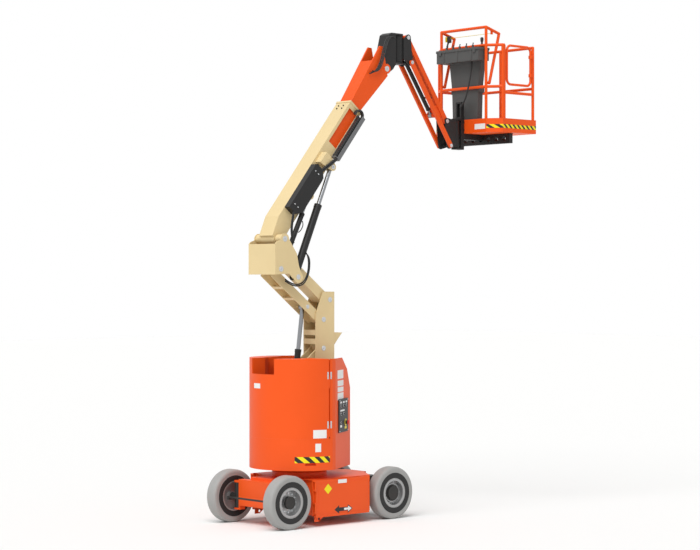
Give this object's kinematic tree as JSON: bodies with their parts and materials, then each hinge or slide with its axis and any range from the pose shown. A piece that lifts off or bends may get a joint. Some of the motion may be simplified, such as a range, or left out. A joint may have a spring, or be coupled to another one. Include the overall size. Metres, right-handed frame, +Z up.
{
  "type": "aerial work platform",
  "caption": "Compact electric articulating boom lift: wheeled chassis, slewing turret, folding riser, telescopic boom, swinging jib and a rotating work platform.",
  "frame": {"origin": "on the ground under the middle of the whole machine's box, as parked in the picture", "axes": "+X forward from the steer axle to the drive axle and the platform, +Y to the machine's left, +Z up"},
  "size_m": [4.5037, 1.22, 6.199],
  "materials": {
    "orange_paint": "gloss",
    "cream_paint": "gloss",
    "black_paint": "satin",
    "grey_paint": "satin",
    "black_plastic": "matte",
    "grey_plastic": "matte",
    "chrome": "polished",
    "tyre": "matte",
    "rim_steel": "satin"
  },
  "bodies": {
    "chassis": {"chassis_frame": "orange_paint", "battery_packs": "black_plastic", "steer_axle": "orange_paint", "drive_axle": "black_paint"},
    "battery_door_right": {"battery_door_right": "orange_paint"},
    "battery_door_left": {"battery_door_left": "orange_paint"},
    "steer_knuckle_left": {"steer_knuckle_left": "black_paint"},
    "steer_knuckle_right": {"steer_knuckle_right": "black_paint"},
    "tie_rod": {"tie_rod": "black_paint"},
    "wheel_steer_right": {"tyre_steer_right": "tyre", "rim_steer_right": "rim_steel"},
    "wheel_steer_left": {"tyre_steer_left": "tyre", "rim_steer_left": "rim_steel"},
    "wheel_drive_right": {"tyre_drive_right": "tyre", "rim_drive_right": "rim_steel"},
    "wheel_drive_left": {"tyre_drive_left": "tyre", "rim_drive_left": "rim_steel"},
    "turret": {"turntable": "orange_paint", "counterweight": "orange_paint", "turret_panels": "orange_paint", "hydraulic_unit": "grey_paint", "tower_base": "orange_paint", "ground_controls": "black_plastic"},
    "hood_right": {"hood_right": "orange_paint"},
    "hood_left": {"hood_left": "orange_paint"},
    "riser_lower_arm": {"riser_lower_arm": "cream_paint"},
    "riser_lower_tie": {"riser_lower_tie": "cream_paint"},
    "riser_mast": {"riser_mast": "cream_paint"},
    "riser_upper_arm": {"riser_upper_arm": "cream_paint"},
    "riser_upper_tie": {"riser_upper_tie": "cream_paint"},
    "riser_head": {"riser_head": "cream_paint"},
    "riser_barrel": {"riser_barrel": "black_paint"},
    "riser_rod": {"riser_rod": "chrome"},
    "boom": {"boom_base": "cream_paint", "hose_guard": "black_paint", "cable_tray": "grey_paint", "energy_chain": "black_plastic"},
    "lift_barrel": {"lift_barrel": "black_paint"},
    "lift_rod": {"lift_rod": "chrome"},
    "level_barrel": {"level_barrel": "black_paint"},
    "level_rod": {"level_rod": "chrome"},
    "boom_fly": {"boom_fly": "orange_paint"},
    "boom_knuckle": {"boom_knuckle": "black_paint"},
    "jib_base": {"jib_base": "black_paint"},
    "jib_arm": {"jib_arm": "orange_paint"},
    "jib_links": {"jib_links": "orange_paint"},
    "jib_barrel": {"jib_barrel": "black_paint"},
    "jib_rod": {"jib_rod": "chrome"},
    "platform_bracket": {"platform_bracket": "black_paint"},
    "platform": {"platform_support": "black_paint", "platform_floor": "orange_paint", "platform_rails": "orange_paint", "platform_hoop": "orange_paint", "platform_console": "grey_plastic"},
    "platform_gate": {"platform_gate": "orange_paint"}
  },
  "joints": [
    {"name": "slew", "type": "hinge", "parent": "chassis", "child": "turret", "pos_m": [-1.29335, 0, 0.615], "axis": [0, 0, 1], "range_deg": [-175, 175]},
    {"name": "steer", "type": "hinge", "parent": "chassis", "child": "steer_knuckle_left", "pos_m": [-1.93435, 0.385, 0.3175], "axis": [0, 0, 1], "range_deg": [-35, 35]},
    {"name": "steer_right", "type": "hinge", "parent": "chassis", "child": "steer_knuckle_right", "pos_m": [-1.93435, -0.385, 0.3175], "axis": [0, 0, 1], "range_deg": [-35, 35]},
    {"name": "tie_rod_turn", "type": "hinge", "parent": "steer_knuckle_left", "child": "tie_rod", "pos_m": [-2.08435, 0.385, 0.319], "axis": [0, 0, 1], "range_deg": [-35, 35]},
    {"name": "roll_steer_right", "type": "hinge", "parent": "steer_knuckle_right", "child": "wheel_steer_right", "pos_m": [-1.93435, -0.5275, 0.3175], "axis": [0, 1, 0], "continuous": true},
    {"name": "roll_drive_right", "type": "hinge", "parent": "chassis", "child": "wheel_drive_right", "pos_m": [-0.28435, -0.5275, 0.3175], "axis": [0, 1, 0], "continuous": true},
    {"name": "roll_steer_left", "type": "hinge", "parent": "steer_knuckle_left", "child": "wheel_steer_left", "pos_m": [-1.93435, 0.5275, 0.3175], "axis": [0, 1, 0], "continuous": true},
    {"name": "roll_drive_left", "type": "hinge", "parent": "chassis", "child": "wheel_drive_left", "pos_m": [-0.28435, 0.5275, 0.3175], "axis": [0, 1, 0], "continuous": true},
    {"name": "battery_door_right_turn", "type": "hinge", "parent": "chassis", "child": "battery_door_right", "pos_m": [-1.55535, -0.598, 0.332], "axis": [0, 0, -1], "range_deg": [0, 95]},
    {"name": "battery_door_left_turn", "type": "hinge", "parent": "chassis", "child": "battery_door_left", "pos_m": [-1.55535, 0.598, 0.332], "axis": [0, 0, 1], "range_deg": [0, 95]},
    {"name": "hood_right_turn", "type": "hinge", "parent": "turret", "child": "hood_right", "pos_m": [-1.33935, -0.598, 1.5], "axis": [0, 0, 1], "range_deg": [0, 100]},
    {"name": "hood_left_turn", "type": "hinge", "parent": "turret", "child": "hood_left", "pos_m": [-1.33935, 0.598, 1.5], "axis": [0, 0, -1], "range_deg": [0, 100]},
    {"name": "tower_lift", "type": "hinge", "parent": "turret", "child": "riser_lower_arm", "pos_m": [-1.70335, 0, 1.228], "axis": [0, -1, 0], "range_deg": [-31, 22]},
    {"name": "riser_lower_tie_turn", "type": "hinge", "parent": "turret", "child": "riser_lower_tie", "pos_m": [-1.79335, 0, 1.478], "axis": [0, -1, 0], "range_deg": [-31, 22]},
    {"name": "riser_mast_turn", "type": "hinge", "parent": "riser_lower_arm", "child": "riser_mast", "pos_m": [-0.91399, 0, 1.84029], "axis": [0, -1, 0], "range_deg": [-22, 31]},
    {"name": "riser_upper_arm_turn", "type": "hinge", "parent": "riser_mast", "child": "riser_upper_arm", "pos_m": [-1.00335, 0, 2.44], "axis": [0, -1, 0], "range_deg": [-22, 31]},
    {"name": "riser_upper_tie_turn", "type": "hinge", "parent": "riser_mast", "child": "riser_upper_tie", "pos_m": [-0.90135, 0, 2.68], "axis": [0, -1, 0], "range_deg": [-22, 31]},
    {"name": "riser_head_turn", "type": "hinge", "parent": "riser_upper_arm", "child": "riser_head", "pos_m": [-1.79272, 0, 3.05229], "axis": [0, -1, 0], "range_deg": [-31, 22]},
    {"name": "riser_barrel_turn", "type": "hinge", "parent": "riser_lower_arm", "child": "riser_barrel", "pos_m": [-1.4177, 0, 1.28885], "axis": [0, -1, 0], "range_deg": [-13.52, 19.05]},
    {"name": "riser_rod_slide", "type": "slide", "parent": "riser_barrel", "child": "riser_rod", "axis": [0.13, 0, 0.9915], "range_m": [-0.38472, 0.27303]},
    {"name": "boom_lift", "type": "hinge", "parent": "riser_head", "child": "boom", "pos_m": [-1.73272, 0, 3.41029], "axis": [0, -1, 0], "range_deg": [-51.2, 23.8]},
    {"name": "lift_barrel_turn", "type": "hinge", "parent": "riser_head", "child": "lift_barrel", "pos_m": [-1.52372, -0.178, 2.95629], "axis": [0, -1, 0], "range_deg": [-41.67, 19.37]},
    {"name": "lift_rod_slide", "type": "slide", "parent": "lift_barrel", "child": "lift_rod", "axis": [0.3962, 0, 0.9181], "range_m": [-0.37418, 0.17394]},
    {"name": "level_barrel_turn", "type": "hinge", "parent": "riser_head", "child": "level_barrel", "pos_m": [-1.60772, -0.163, 3.27229], "axis": [0, -1, 0], "range_deg": [-49.23, 22.88]},
    {"name": "level_rod_slide", "type": "slide", "parent": "level_barrel", "child": "level_rod", "axis": [0.4378, 0, 0.8991], "range_m": [-0.15552, 0.07229]},
    {"name": "boom_extend", "type": "slide", "parent": "boom", "child": "boom_fly", "axis": [0.6266, 0, 0.7793], "range_m": [0, 1.1]},
    {"name": "boom_knuckle_turn", "type": "hinge", "parent": "boom_fly", "child": "boom_knuckle", "pos_m": [0.04668, 0, 5.55958], "axis": [0, -1, 0], "range_deg": [-23.8, 51.2]},
    {"name": "jib_swing", "type": "hinge", "parent": "boom_knuckle", "child": "jib_base", "pos_m": [0.32768, 0, 5.83258], "axis": [0, 0, 1], "range_deg": [-90, 90]},
    {"name": "jib_lift", "type": "hinge", "parent": "jib_base", "child": "jib_arm", "pos_m": [0.45268, 0, 5.98558], "axis": [0, -1, 0], "range_deg": [-4.2, 139.8]},
    {"name": "jib_links_turn", "type": "hinge", "parent": "jib_base", "child": "jib_links", "pos_m": [0.48768, 0, 5.67058], "axis": [0, -1, 0], "range_deg": [-4.2, 139.8]},
    {"name": "jib_barrel_turn", "type": "hinge", "parent": "jib_base", "child": "jib_barrel", "pos_m": [0.48768, 0, 5.67058], "axis": [0, -1, 0], "range_deg": [-4.09, 136.17]},
    {"name": "jib_rod_slide", "type": "slide", "parent": "jib_barrel", "child": "jib_rod", "axis": [0.5707, 0, -0.8212], "range_m": [-0.01778, 0.59177]},
    {"name": "platform_bracket_turn", "type": "hinge", "parent": "jib_arm", "child": "platform_bracket", "pos_m": [1.14685, 0, 4.96414], "axis": [0, -1, 0], "range_deg": [-139.8, 4.2]},
    {"name": "platform_rotate", "type": "hinge", "parent": "platform_bracket", "child": "platform", "pos_m": [1.36785, 0, 4.81], "axis": [0, 0, 1], "range_deg": [-90, 90]},
    {"name": "gate_turn", "type": "hinge", "parent": "platform", "child": "platform_gate", "pos_m": [2.17655, -0.5807, 5.7], "axis": [0, 0, -1], "range_deg": [0, 85]}
  ],
  "couplings": [
    {"joint": "steer_right", "follows": "steer", "ratio": 1},
    {"joint": "tie_rod_turn", "follows": "steer", "ratio": -1},
    {"joint": "riser_lower_tie_turn", "follows": "tower_lift", "ratio": 1},
    {"joint": "riser_mast_turn", "follows": "tower_lift", "ratio": -1},
    {"joint": "riser_upper_arm_turn", "follows": "tower_lift", "ratio": -1},
    {"joint": "riser_upper_tie_turn", "follows": "tower_lift", "ratio": -1},
    {"joint": "riser_head_turn", "follows": "tower_lift", "ratio": 1},
    {"joint": "riser_barrel_turn", "follows": "tower_lift", "ratio": -0.6144},
    {"joint": "riser_rod_slide", "follows": "tower_lift", "m_per_rad": 0.71106},
    {"joint": "lift_barrel_turn", "follows": "boom_lift", "ratio": 0.8139},
    {"joint": "lift_rod_slide", "follows": "boom_lift", "m_per_rad": 0.41873},
    {"joint": "level_barrel_turn", "follows": "boom_lift", "ratio": 0.9615},
    {"joint": "level_rod_slide", "follows": "boom_lift", "m_per_rad": 0.17403},
    {"joint": "boom_knuckle_turn", "follows": "boom_lift", "ratio": -1},
    {"joint": "jib_links_turn", "follows": "jib_lift", "ratio": 1},
    {"joint": "jib_barrel_turn", "follows": "jib_lift", "ratio": 0.974},
    {"joint": "jib_rod_slide", "follows": "jib_lift", "m_per_rad": 0.24253},
    {"joint": "platform_bracket_turn", "follows": "jib_lift", "ratio": -1}
  ]
}
